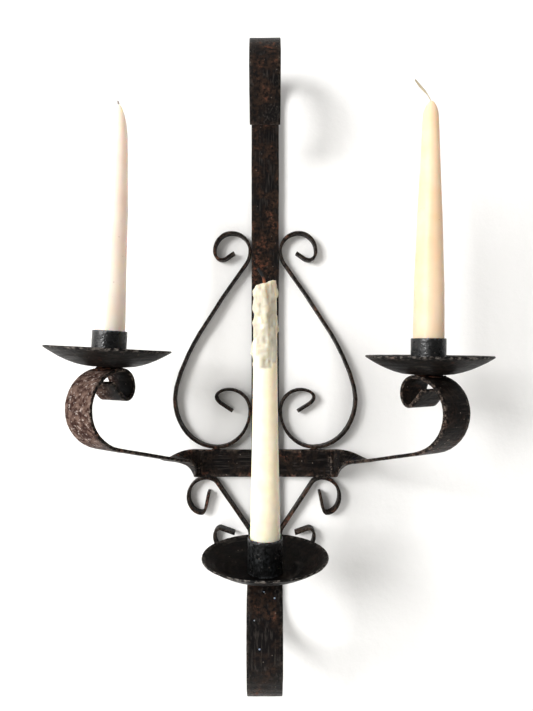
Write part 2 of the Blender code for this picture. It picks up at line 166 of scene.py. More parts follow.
@dataclass(frozen=True)
class WroughtIron:
    """Old hand-forged strap: black oxide, worn brown in patches, rusting, scratched and pitted.

    The oxide gives near-black with a soft sheen, and the rust dull brown speckles. Rubbed edges show as thin
    grey lines; they, the pale scratches and the pale specks of dust are also drawn as painted highlights.
    At the left arm's end the faces turned to the left, toward the light, carry dust and a painted light: a
    pale mottled brown.
    The grains are drawn about twice as coarse as on old iron, so that they show from where a viewer stands.
    """

    name: str = "wrought_iron_black_oxide"
    oxide: str = "#090707"
    brown: str = "#33241a"
    rust: str = "#60382a"
    # rubbed edges, drawn pale enough to be a painted highlight as well as wear
    edge: str = "#5c554e"
    # pale scratches: real scratches that also carry painted glints
    scratch_and_glint: str = "#37322e"
    # pale specks: dust, and painted glints
    dust: str = "#a8998c"
    # the left arm's dusty end, on its faces turned to the light: dust with a painted light
    lit_patina_dark: str = "#301d18"
    lit_patina: str = "#6d584e"
    lit_patina_pale: str = "#ac9e96"
    patch_mm: float = 16.0
    grain_mm: float = 2.6
    mottle_grains: float = 1.7  # how coarse the mottle of the dusty, painted-lit end is, in grains
    scratch_mm: float = 1.4
    stretch: tuple[float, float, float] = (1, 1, 14)  # which way the scratches run
    speck_mm: float = 6.0
    rust_from: float = 0.56  # the noise value at which rust starts: less is rustier
    # the most share of the pale specks, dust and painted glints
    pale_speck_share: float = 0.2
    roughness: float = 0.5
    dull_roughness: float = 0.85  # of rust and dust
    gloss_spread: float = 0.14  # how far scratches take the roughness up and down
    specular: float = 0.08
    relief_mm: float = 0.3
    scratch_relief: float = 0.4  # how deep the scratches are beside the grain

    def material(self) -> bpy.types.Material:
        """Builds the material's nodes.

        Returns:
            The material.
        """
        material, tree, place = blank_material(self.name)
        patches, grain, blotch = (
            add_node(
                tree,
                "TexNoise",
                {"Vector": place, "Scale": per_metre(size), "Detail": depth, "Roughness": 0.6},
            ).outputs[0]
            for size, depth in (
                (self.patch_mm, 6.0),
                (self.grain_mm, 2.0),
                (self.grain_mm * self.mottle_grains, 3.0),
            )
        )
        along = add_node(
            tree, "Mapping", {"vector_type": "TEXTURE", "Vector": place, "Scale": self.stretch}
        ).outputs[0]
        scratches = add_node(
            tree, "TexNoise", {"Vector": along, "Scale": per_metre(self.scratch_mm), "Detail": 3.0}
        ).outputs[0]
        cells = add_node(
            tree, "TexVoronoi", {"Vector": place, "Scale": per_metre(self.speck_mm)}
        ).outputs["Distance"]
        wear, dust_and_lit_side = (
            add_node(tree, "Attribute", {"attribute_name": name}).outputs["Fac"] for name in ("wear", "dust")
        )

        wide_rust, wide_brown, black, torn, fine, mottle, pale, scratched, speck = (
            add_node(
                tree, "MapRange", {"Value": value, "From Min": low, "From Max": high, "To Max": most}
            ).outputs[0]
            # Each row: a pattern, the value at which the share leaves 0, where it is full, and its most.
            for value, low, high, most in (
                (patches, self.rust_from, self.rust_from + 0.12, 1.0),  # patches of rust
                (patches, 0.4, 0.6, 1.0),  # the wider patches of worn brown
                (patches, 0.5, 0.42, 0.7),  # where the oxide is still black
                (grain, 0.47, 0.62, 1.0),  # breaks up the rust, and the rubbed edges with their painted highlight
                (grain, 0.36, 0.6, 1.0),  # breaks the brown up, more softly
                (blotch, 0.43, 0.6, 0.9),  # the mottle of the dusty end and its painted light
                (grain, 0.58, 0.68, 0.85),  # and its palest grains
                (scratches, 0.5, 0.68, 1.0),  # scratches, pale enough to carry painted glints
                (cells, 0.1, 0.05, self.pale_speck_share),  # pale specks: dust, and painted glints
            )
        )
        rust, browning, scored_and_glint, rubbed_and_highlit, lit_patina, grains = (
            add_node(tree, "Math", {"operation": "MULTIPLY", 0: first, 1: second}).outputs[0]
            for first, second in (
                (wide_rust, torn),
                (wide_brown, fine),
                (black, scratched),
                (wear, torn),
                (dust_and_lit_side, mottle),
                (dust_and_lit_side, pale),
            )
        )
        colour = linear(self.oxide)
        # Painted light in this mix: rubbed edges, pale scratches and pale specks stand in for highlights,
        # and the dusty end is paler on faces turned to the light.
        for share, other in (
            (browning, self.brown),
            (rust, self.rust),
            (scored_and_glint, self.scratch_and_glint),
            (dust_and_lit_side, self.lit_patina_dark),
            (lit_patina, self.lit_patina),
            (grains, self.lit_patina_pale),
            (rubbed_and_highlit, self.edge),
            (speck, self.dust),
        ):
            colour = add_node(
                tree, "Mix", {"data_type": "RGBA", 0: share, 6: colour, 7: linear(other)}
            ).outputs[2]
        dull = add_node(tree, "Math", {"operation": "MAXIMUM", 0: rust, 1: dust_and_lit_side}).outputs[0]
        rough = add_node(
            tree, "MapRange", {"Value": dull, "To Min": self.roughness, "To Max": self.dull_roughness}
        ).outputs[0]
        uneven = add_node(
            tree,
            "MapRange",
            {
                "Value": scratches,
                "From Min": 0.3,
                "From Max": 0.7,
                "To Min": -self.gloss_spread,
                "To Max": self.gloss_spread,
            },
        ).outputs[0]
        rough = add_node(
            tree, "Math", {"operation": "ADD", "use_clamp": True, 0: rough, 1: uneven}
        ).outputs[0]
        height = add_node(
            tree, "Math", {"operation": "MULTIPLY_ADD", 0: scratches, 1: self.scratch_relief, 2: grain}
        ).outputs[0]
        normal = add_node(
            tree, "Bump", {"Strength": 0.8, "Distance": self.relief_mm * MM, "Height": height}
        ).outputs[0]
        shader = add_node(
            tree,
            "BsdfPrincipled",
            {
                "Base Color": colour,
                "Roughness": rough,
                "Specular IOR Level": self.specular,
                "Normal": normal,
            },
        )
        add_node(tree, "OutputMaterial", {"Surface": shader.outputs[0]})
        return material


@dataclass(frozen=True)
class CandleWax:
    """Candle wax: smooth, soft and a little see-through, so its shaded side glows.

    Faint clouds and a few brown specks lie in it. Wax that has melted and set again is greyer, and the
    hollows between its runs are drawn a deeper yellow as painted shade.
    """

    name: str
    body: str
    shade: str
    speck: str = "#8a5a3c"
    # painted shade in the hollows between the runs
    hollow: str = "#a98c5c"
    melted: str = "#c0bba9"
    cloud_mm: float = 22.0
    speck_mm: float = 7.0
    speckiness: float = 0.5
    roughness: float = 0.42
    depth_mm: tuple[float, float, float] = (9.0, 6.0, 3.2)  # how far red, green and blue light go in
    relief_mm: float = 0.12

    def material(self) -> bpy.types.Material:
        """Builds the material's nodes.

        Returns:
            The material.
        """
        material, tree, place = blank_material(self.name)
        cloud = add_node(
            tree, "TexNoise", {"Vector": place, "Scale": per_metre(self.cloud_mm), "Detail": 3.0}
        ).outputs[0]
        tint = add_node(tree, "MapRange", {"Value": cloud, "From Min": 0.35, "From Max": 0.7}).outputs[0]
        cells = add_node(
            tree, "TexVoronoi", {"Vector": place, "Scale": per_metre(self.speck_mm)}
        ).outputs["Distance"]
        speck = add_node(
            tree, "MapRange", {"Value": cells, "From Min": 0.07, "From Max": 0.03, "To Max": self.speckiness}
        ).outputs[0]
        # the hollows' mask for painted shade, and the share of melted wax
        hollow_shades, melts = (
            add_node(tree, "Attribute", {"attribute_name": name}).outputs["Fac"]
            for name in ("hollow", "melt_share")
        )
        colour = linear(self.body)
        for share, other in (
            (tint, self.shade),
            (melts, self.melted),
            (hollow_shades, self.hollow),
            (speck, self.speck),
        ):
            colour = add_node(
                tree, "Mix", {"data_type": "RGBA", 0: share, 6: colour, 7: linear(other)}
            ).outputs[2]
        normal = add_node(
            tree, "Bump", {"Strength": 0.5, "Distance": self.relief_mm * MM, "Height": cloud}
        ).outputs[0]
        shader = add_node(
            tree,
            "BsdfPrincipled",
            {
                "Base Color": colour,
                "Roughness": self.roughness,
                "IOR": 1.44,
                "Subsurface Weight": 1.0,
                "Subsurface Radius": self.depth_mm,
                "Subsurface Scale": MM,
                "Normal": normal,
            },
        )
        add_node(tree, "OutputMaterial", {"Surface": shader.outputs[0]})
        return material


@dataclass(frozen=True)
class WickCotton:
    """Cotton, waxed or burnt: dull, fading from the colour of its foot to that of its tip.

    A long slanting swell dents the surface a little. The plaits themselves are in the wick's shape.
    """

    name: str
    body: str
    tip: str
    foot_z: float  # where the body's colour ends, in metres
    tip_z: float  # where the tip's colour is full, in metres
    swell_mm: float = 18.0  # the wave's unit: its bands repeat every 0.63 of it
    relief_mm: float = 0.15

    def material(self) -> bpy.types.Material:
        """Builds the material's nodes.

        Returns:
            The material.
        """
        material, tree, place = blank_material(self.name)
        height = add_node(tree, "SeparateXYZ", {"Vector": place}).outputs["Z"]
        share = add_node(
            tree, "MapRange", {"Value": height, "From Min": self.foot_z, "From Max": self.tip_z}
        ).outputs[0]
        swell = add_node(
            tree,
            "TexWave",
            {
                "bands_direction": "DIAGONAL",
                "Vector": place,
                "Scale": per_metre(self.swell_mm),
                "Distortion": 1.0,
            },
        ).outputs["Fac"]
        colour = add_node(
            tree, "Mix", {"data_type": "RGBA", 0: share, 6: linear(self.body), 7: linear(self.tip)}
        ).outputs[2]
        normal = add_node(
            tree, "Bump", {"Strength": 0.6, "Distance": self.relief_mm * MM, "Height": swell}
        ).outputs[0]
        shader = add_node(
            tree, "BsdfPrincipled", {"Base Color": colour, "Roughness": 0.92, "Normal": normal}
        )
        add_node(tree, "OutputMaterial", {"Surface": shader.outputs[0]})
        return material


@dataclass(frozen=True)
class WhitePlaster:
    """Painted plaster: matt white with soft trowel marks. Seen from behind it is clear."""

    name: str = "plaster_wall"
    paint: str = "#f4f3f1"
    trowel_mm: float = 10.0
    relief_mm: float = 1.3
    one_sided: bool = True

    def material(self) -> bpy.types.Material:
        """Builds the material's nodes.

        Returns:
            The material.
        """
        material, tree, place = blank_material(self.name)
        trowel = add_node(
            tree,
            "TexNoise",
            {"Vector": place, "Scale": per_metre(self.trowel_mm), "Detail": 5.0, "Roughness": 0.55},
        ).outputs[0]
        normal = add_node(
            tree, "Bump", {"Strength": 0.35, "Distance": self.relief_mm * MM, "Height": trowel}
        ).outputs[0]
        shader = add_node(
            tree, "BsdfPrincipled", {"Base Color": linear(self.paint), "Roughness": 0.95, "Normal": normal}
        )
        surface = shader.outputs[0]
        if self.one_sided:
            back = add_node(tree, "NewGeometry", {}).outputs["Backfacing"]
            clear = add_node(tree, "BsdfTransparent", {}).outputs[0]
            surface = add_node(tree, "MixShader", {0: back, 1: surface, 2: clear}).outputs[0]
        add_node(tree, "OutputMaterial", {"Surface": surface})
        return material


# ---------------------------------------------------------------- bench work


def hold(piece: bpy.types.Object) -> None:
    """Makes a piece the only selected one, and the active one."""
    bpy.ops.object.select_all(action="DESELECT")
    piece.select_set(True)
    bpy.context.view_layer.objects.active = piece


def finish_with(piece: bpy.types.Object, kind: str, **settings: object) -> None:
    """Adds a modifier to a piece and applies it.

    Args:
        piece: the piece.
        kind: the modifier's type.
        **settings: its properties.
    """
    hold(piece)
    modifier = piece.modifiers.new(kind.lower(), kind)
    for key, value in settings.items():
        setattr(modifier, key, value)
    bpy.ops.object.modifier_apply(modifier=modifier.name)


def copy_of(node: str, name: str) -> bpy.types.Object:
    """Copies a CAD node's mesh as a new piece, welds its loose triangles and joins them into quads.

    Args:
        node: the CAD node.
        name: the new piece's name.

    Returns:
        The new piece.
    """
    piece = bpy.data.objects.new(name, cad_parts[node].data.copy())
    bpy.context.scene.collection.objects.link(piece)
    hold(piece)
    bpy.ops.mesh.customdata_custom_splitnormals_clear()
    bpy.ops.object.mode_set(mode="EDIT")
    bpy.ops.mesh.select_all(action="SELECT")
    bpy.ops.mesh.remove_doubles(threshold=0.01 * MM)
    bpy.ops.mesh.mark_sharp(clear=True)
    bpy.ops.mesh.tris_convert_to_quads(face_threshold=math.radians(2), shape_threshold=math.radians(180))
    bpy.ops.object.mode_set(mode="OBJECT")
    return piece


def refine(piece: bpy.types.Object, longest: float, rounds: int = 9) -> None:
    """Halves every edge longer than a length, round after round, until none is left.

    Args:
        piece: the piece.
        longest: the length, in metres.
        rounds: the most times an edge is halved.
    """
    hold(piece)
    bpy.ops.object.mode_set(mode="EDIT")
    bpy.ops.mesh.select_mode(type="EDGE")
    for _ in range(rounds):
        bpy.ops.mesh.select_all(action="DESELECT")
        cage = bmesh.from_edit_mesh(piece.data)
        long_edges = [edge for edge in cage.edges if edge.calc_length() > longest]
        if not long_edges:
            break
        for edge in long_edges:
            edge.select_set(True)
        bmesh.update_edit_mesh(piece.data)
        bpy.ops.mesh.subdivide(number_cuts=1)
    bpy.ops.object.mode_set(mode="OBJECT")


def roughen(
    piece: bpy.types.Object, size_mm: float, depth_mm: float, direction: str = "NORMAL", group: str = ""
) -> None:
    """Pushes a piece's surface in and out by a cloud pattern.

    Args:
        piece: the piece.
        size_mm: how far apart the dents are.
        depth_mm: their depth from top to bottom.
        direction: NORMAL for dents, or RGB_TO_XYZ to bend the whole piece.
        group: the vertex group that is pushed, or nothing for the whole piece.
    """
    clouds = bpy.data.textures.new(f"{piece.name}_{direction.lower()}", "CLOUDS")
    clouds.noise_scale = size_mm * MM
    clouds.cloud_type = "COLOR" if direction == "RGB_TO_XYZ" else "GRAYSCALE"
    finish_with(
        piece,
        "DISPLACE",
        texture=clouds,
        texture_coords="LOCAL",
        direction=direction,
        strength=depth_mm * MM,
        mid_level=0.5,
        vertex_group=group,
    )


def mark_form(piece: bpy.types.Object, gain: float = 4.0, flat: float = 0.2) -> None:
    """Stores as point attributes how far each point stands out, which marks edge wear and painted edge
    highlights, and how far it lies back, which marks painted shade in hollows.

    Args:
        piece: the piece.
        gain: how strongly an edge shows. Both attributes run from 0 to 1.
        flat: how much of that counts as flat, and shows as neither.
    """
    shell = bmesh.new()
    shell.from_mesh(piece.data)
    shell.normal_update()
    means = []
    for vertex in shell.verts:
        slopes = [
            (edge.other_vert(vertex).co - vertex.co).normalized().dot(vertex.normal)
            for edge in vertex.link_edges
        ]
        means.append(sum(slopes) / max(1, len(slopes)))
    shell.free()
    # the first for edge wear with painted highlights, the second for painted shade in hollows
    for name, sign in (("wear", -gain), ("hollow", gain)):
        layer = piece.data.attributes.new(name, "FLOAT", "POINT")
        layer.data.foreach_set("value", [min(1.0, max(0.0, mean * sign - flat)) for mean in means])


def hand_over(
    piece: bpy.types.Object,
    body: str,
    material: bpy.types.Material,
    replaced: tuple[str, ...] = (),
) -> bpy.types.Object:
    """Gives a finished piece its material and its place in the frame, and reports it.

    Args:
        piece: the finished piece.
        body: the CAD body that it rides on.
        material: its material.
        replaced: the CAD nodes that it stands for.

    Returns:
        The piece.
    """
    hold(piece)
    bpy.ops.object.shade_smooth_by_angle(angle=SMOOTH_BEND)
    piece.data.materials.clear()
    piece.data.materials.append(material)
    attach(piece, body)
    if replaced:
        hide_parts(*replaced)
    log.info("%s: %d faces on %s", piece.name, len(piece.data.polygons), body)
    return piece


# ---------------------------------------------------------------- ironwork


@dataclass
class Strapwork:
    """The flat straps: their sheared edges are softened, and their faces carry hammer marks."""

    iron: bpy.types.Material
    lit_iron: bpy.types.Material
    edge_mm: float = 0.45
    longest_mm: float = 3.2
    wander_mm: float = 0.5
    wander_size_mm: float = 45.0
    dent_mm: float = 0.28
    dent_size_mm: float = 7.0
    lit_dusty_end_from_mm: float = -108.0  # how far to the left the left arm's dusty end, with its painted light, starts
    dust_fade_mm: float = 8.0  # over what length the dust and painted light begin
    dust_lean: float = 0.1  # how far a face must turn to the left, toward the light, before dust and painted light show on it
    dust_lean_range: float = 0.2  # and how much further until it is full, as parts of the normal
    # the most share of the dust and painted light
    dust: float = 0.9

    def settle_dust_and_painted_light(self, piece: bpy.types.Object) -> None:
        """Stores how thickly dust and a painted light lie, as a point attribute.

        It lies on the left arm's end, where that faces outwards to the left, toward the light: the pale
        colour there is partly dust and partly painted light.

        Args:
            piece: the strap.
        """
        shares = []
        for vertex in piece.data.vertices:
            beyond = (self.lit_dusty_end_from_mm * MM - vertex.co.x) / (self.dust_fade_mm * MM)
            facing = (-self.dust_lean - vertex.normal.x) / self.dust_lean_range
            shares.append(self.dust * min(1.0, max(0.0, beyond)) * min(1.0, max(0.0, facing)))
        layer = piece.data.attributes.new("dust", "FLOAT", "POINT")
        layer.data.foreach_set("value", shares)

    def forge(self, node: str, material: bpy.types.Material) -> bpy.types.Object:
        """Finishes one strap.

        Args:
            node: the strap's CAD node.
            material: its material.

        Returns:
            The forged piece.
        """
        piece = copy_of(node, node + "_forged")
        finish_with(
            piece,
            "BEVEL",
            width=self.edge_mm * MM,
            segments=2,
            limit_method="ANGLE",
            angle_limit=SHARP_BEND,
        )
        refine(piece, self.longest_mm * MM)
        mark_form(piece)
        self.settle_dust_and_painted_light(piece)
        roughen(piece, self.wander_size_mm, self.wander_mm, "RGB_TO_XYZ")
        roughen(piece, self.dent_size_mm, self.dent_mm)
        return hand_over(piece, "frame", material, (node,))

    def build(self) -> None:
        """Forges every strap."""
        self.forge("spine", self.iron)
        self.forge("cross_strap", self.lit_iron)
        for side in (Side.LEFT, Side.RIGHT):
            self.forge("heart_scroll_" + side.value, self.iron)
            self.forge("lower_scroll_" + side.value, self.iron)


@dataclass
class WeldBeads:
    """The beads that hold the straps and pans together: lumps with a rippled skin."""

    metal: bpy.types.Material
    longest_mm: float = 1.6
    ripple_mm: float = 0.55
    ripple_size_mm: float = 1.7
    pad_mm: tuple[float, float, float] = (12.0, 7.5, 1.7)  # across the strap, along it and up
    strap_turn: float = 30.0  # how far the side arms' straps are turned from facing sideways, in degrees

    def fill_contact(self, piece: bpy.types.Object, side: Side) -> None:
        """Fills the narrow gap between a side pan and the arm's crown, with a bead on each side of it.

        Args:
            piece: the bead between them.
            side: the light.
        """
        low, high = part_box("drip_pan_" + side.value)
        above = Vector(((low.x + high.x) / 2, (low.y + high.y) / 2, high.z))
        hit, crown, _, _ = bpy.data.objects["cross_strap_forged"].ray_cast(above, -UP)
        if not hit:
            log.warning("no strap under the %s pan", side.value)
            return
        hold(piece)
        bpy.ops.object.mode_set(mode="EDIT")
        bpy.ops.mesh.select_all(action="SELECT")
        bpy.ops.mesh.duplicate()
        bpy.ops.transform.rotate(value=math.pi, orient_axis="Z", center_override=crown)
        bpy.ops.object.mode_set(mode="OBJECT")
        bpy.ops.object.select_all(action="DESELECT")
        turn = math.radians(self.strap_turn if side is Side.RIGHT else -self.strap_turn)
        bpy.ops.mesh.primitive_uv_sphere_add(
            segments=24, ring_count=12, radius=MM, location=crown, rotation=(0, 0, turn), scale=self.pad_mm
        )
        pad = bpy.context.object
        bpy.ops.object.transform_apply(location=True, rotation=True, scale=True)
        hold(piece)
        pad.select_set(True)
        bpy.ops.object.join()

    def build(self) -> None:
        """Finishes every bead."""
        for node in sorted(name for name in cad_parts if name.startswith("weld_")):
            piece = copy_of(node, node + "_bead")
            for side in (Side.LEFT, Side.RIGHT):
                if node == "weld_pan_" + side.value:
                    self.fill_contact(piece, side)
            refine(piece, self.longest_mm * MM)
            finish_with(piece, "SUBSURF", levels=1, render_levels=1)
            roughen(piece, self.ripple_size_mm, self.ripple_mm)
            mark_form(piece, gain=2.0)
            hand_over(piece, "frame", self.metal, (node,))


@dataclass
class PanAndSocket:
    """One light's ironwork: a dished sheet pan with an uneven rim, and the tube that stands on it."""

    side: Side
    sheet: bpy.types.Material
    tube: bpy.types.Material
    rim_round_mm: float = 0.3
    pan_longest_mm: float = 3.5
    buckle_mm: float = 0.4
    buckle_size_mm: float = 38.0
    dent_mm: float = 0.22
    dent_size_mm: float = 6.0
    tube_longest_mm: float = 2.2
    tube_dent_mm: float = 0.16
    tube_dent_size_mm: float = 4.5

    def round_rims(self, piece: bpy.types.Object) -> None:
        """Rounds a piece's sharp rims.

        Args:
            piece: the pan or the tube.
        """
        finish_with(
            piece,
            "BEVEL",
            width=self.rim_round_mm * MM,
            segments=2,
            limit_method="ANGLE",
            angle_limit=SHARP_BEND,
        )

    def build_pan(self) -> bpy.types.Object:
        """Rounds the pan's rim and buckles its sheet a little.

        Returns:
            The pan.
        """
        node = "drip_pan_" + self.side.value
        piece = copy_of(node, node + "_dished")
        self.round_rims(piece)
        refine(piece, self.pan_longest_mm * MM)
        mark_form(piece)
        roughen(piece, self.buckle_size_mm, self.buckle_mm, "RGB_TO_XYZ")
        roughen(piece, self.dent_size_mm, self.dent_mm)
        return hand_over(piece, "frame", self.sheet, (node,))

    def build_socket(self) -> bpy.types.Object:
        """Rounds the tube's ends and dents its wall a little.

        Returns:
            The tube.
        """
        node = "candle_socket_" + self.side.value
        piece = copy_of(node, node + "_tube")
        self.round_rims(piece)
        refine(piece, self.tube_longest_mm * MM)
        mark_form(piece)
        roughen(piece, self.tube_dent_size_mm, self.tube_dent_mm)
        return hand_over(piece, "frame", self.tube, (node,))

    def build(self) -> None:
        """Makes the pan and the socket."""
        self.build_pan()
        self.build_socket()


# ---------------------------------------------------------------- candles


@dataclass(frozen=True)
class WaxRun:
    """A run of melted wax: where it lies round the candle, and how far it runs.

    The angle is in degrees from the front, positive to the right. Heights are millimetres below the
    candle's highest point, and the sizes are radii in millimetres.
    """

    angle: float
    start: float
    end: float
    stream: float
    bead: float
    proud: float = 0.0  # how far the bead stands out past the candle's wall

    def cover(self, angle: float, depth: float, radius: float) -> float:
        """Tells how fully the run covers a place on the candle's wall.

        Args:
            angle: the place's angle, in degrees.
            depth: its depth below the candle's top, in millimetres.
            radius: the candle's radius, in millimetres.

        Returns:
            A share from 0 to 1.
        """
        aside = abs((angle - self.angle + 180) % 360 - 180)
        beyond = math.radians(aside) * radius - self.stream
        within = min(depth - self.start, self.end - depth)
        return min(1.0, max(0.0, min(1 - beyond / RUN_SIDE_FADE_MM, within / RUN_END_FADE_MM + 0.5)))


@dataclass
class Taper:
    """A candle as it was moulded, with a softly rounded tip."""

    side: Side
    slot: Slot
    wax: bpy.types.Material
    longest_mm: float = 7.0
    wander_mm: float = 0.35
    wander_size_mm: float = 30.0

    @property
    def node(self) -> str:
        """The candle's CAD node."""
        return "candle_" + self.side.value

    @property
    def body(self) -> str:
        """The CAD body that the candle and its wick ride on."""
        return "taper_" + self.side.value

    def build(self) -> bpy.types.Object:
        """Smooths the candle's outline, and lets its wall wander a little.

        Returns:
            The candle.
        """
        piece = copy_of(self.node, self.node + "_moulded")
        refine(piece, self.longest_mm * MM)
        finish_with(piece, "SUBSURF", levels=1, render_levels=1)
        roughen(piece, self.wander_size_mm, self.wander_mm)
        return hand_over(piece, self.body, self.wax, (self.node,))


@dataclass
class BurntTaper(Taper):
    """The candle that has burnt: its top has slumped, and runs of wax have set down its sides."""

    runs: tuple[WaxRun, ...] = ()
    slump_mm: float = 7.5  # how far the top falls from right to left
    grain_mm: float = 0.62  # the size of the skin's faces
    upper_mm: float = 60.0  # the part below the top whose radius the runs follow
    film_mm: float = 0.5  # wax this thick over the bare candle counts as fully melted
    rim_mm: float = 3.0  # how far below the slump the top's own melting fades out
    skin_rounds: int = 4  # how often the joined skin is smoothed
    lump_mm: float = 4.4
    lump_size_mm: float = 7.5
    lump_rounds: int = 7  # how often it is smoothed again once it is lumpy

    def shape_run(self, run: WaxRun, axis: Vector, top: float, radius: float) -> bpy.types.Object:
        """Models one run: a ball whose upper half is drawn up into a thinning stream.

        Args:
            run: the run's place and sizes.
            axis: a point on the candle's axis.
            top: the height of the candle's highest point.
            radius: the candle's radius there.

        Returns:
            The run as a mesh of its own.
        """
        angle = math.radians(run.angle)
        outward = Vector((math.sin(angle), -math.cos(angle), 0))
        slope = self.slump_mm * (1 - math.sin(angle)) / 2
        start = max(run.start, slope + run.stream + 0.6)  # just under the sloping top
        reach = radius + (run.proud - 0.55 * run.bead) * MM  # the bead is sunk a little past its middle
        foot = Vector((axis.x, axis.y, top - (run.end - run.bead) * MM)) + outward * reach
        bpy.ops.object.select_all(action="DESELECT")
        bpy.ops.mesh.primitive_uv_sphere_add(segments=14, ring_count=10, radius=run.bead * MM, location=foot)
        piece = bpy.context.object
        bpy.ops.object.transform_apply(location=True, rotation=False, scale=False)
        bpy.ops.object.mode_set(mode="EDIT")
        bpy.ops.mesh.select_mode(type="VERT")
        # Each pull takes the ball's upper half half of the way up. The second also thins it by a fifth.
        for share, shrink in ((0.05, 1.0), (0.55, 0.8)):
            bpy.ops.mesh.select_all(action="DESELECT")
            cage = bmesh.from_edit_mesh(piece.data)
            edge_height = foot.z + share * run.bead * MM
            for vertex in cage.verts:
                vertex.select_set(vertex.co.z > edge_height)
            bmesh.update_edit_mesh(piece.data)
            length = (run.end - start) * MM / 2
            bpy.ops.transform.translate(value=(0, 0, length))
            slim = shrink * min(1.0, run.stream / run.bead)
            inner = foot - outward * ((run.proud * 0.8 + 0.3 * (run.bead - run.stream)) * MM / 2)
            bpy.ops.transform.resize(value=(slim, slim, 1), center_override=inner)
        bpy.ops.object.mode_set(mode="OBJECT")
        return piece

    def mark_melted(
        self, piece: bpy.types.Object, bare: BVHTree, axis: Vector, top: float, radius: float
    ) -> None:
        """Stores where wax has melted and set again, as the group "melted" and the attribute "melt_share".

        Args:
            piece: the candle's skin.
            bare: the candle before any wax ran.
            axis: a point on the candle's axis.
            top: the height of the candle's highest point.
            radius: the candle's radius there.
        """
        reach = max(run.end for run in self.runs)
        shares = []
        for vertex in piece.data.vertices:
            depth = (top - vertex.co.z) / MM
            if depth > reach + 1:  # below every run
                shares.append(0.0)
                continue
            spot, normal, _, _ = bare.find_nearest(vertex.co)
            proud = (vertex.co - spot).dot(normal) / (self.film_mm * MM)
            crown = 1 - depth / (self.slump_mm + self.rim_mm)
            angle = math.degrees(math.atan2(vertex.co.x - axis.x, axis.y - vertex.co.y))
            cover = max(run.cover(angle, depth, radius / MM) for run in self.runs)
            shares.append(min(1.0, max(0.0, proud, crown, cover)))
        group = piece.vertex_groups.new(name="melted")
        for index, share in enumerate(shares):
            if share > 0:
                group.add([index], share, "REPLACE")
        layer = piece.data.attributes.new("melt_share", "FLOAT", "POINT")
        layer.data.foreach_set("value", shares)

    def build(self) -> bpy.types.Object:
        """Melts the runs and the candle into one skin.

        Returns:
            The candle.
        """
        low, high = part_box(self.node)
        axis = Vector(((low.x + high.x) / 2, (low.y + high.y) / 2, 0))
        piece = copy_of(self.node, self.node + "_burnt")
        points = [v.co for v in piece.data.vertices if high.z - v.co.z < self.upper_mm * MM]
        radius = sum((p - Vector((axis.x, axis.y, p.z))).length for p in points) / len(points)
        cage = bmesh.new()
        cage.from_mesh(piece.data)
        bare = BVHTree.FromBMesh(cage)
        cage.free()
        streams = [self.shape_run(run, axis, high.z, radius) for run in self.runs]
        hold(piece)
        for stream in streams:
            stream.select_set(True)
        bpy.ops.object.join()
        finish_with(piece, "REMESH", mode="VOXEL", voxel_size=self.grain_mm * MM)
        finish_with(piece, "SMOOTH", factor=0.5, iterations=self.skin_rounds)
        self.mark_melted(piece, bare, axis, high.z, radius)
        roughen(piece, self.lump_size_mm, self.lump_mm, group="melted")
        finish_with(piece, "SMOOTH", factor=0.5, iterations=self.lump_rounds)
        mark_form(piece, gain=4.5)
        return hand_over(piece, self.body, self.wax, (self.node,))


@dataclass(frozen=True)
class WickStop:
    """A station along a wick, from the top of the wax: sideways and upward distance and radius, in mm."""

    across: float
    height: float
    radius: float


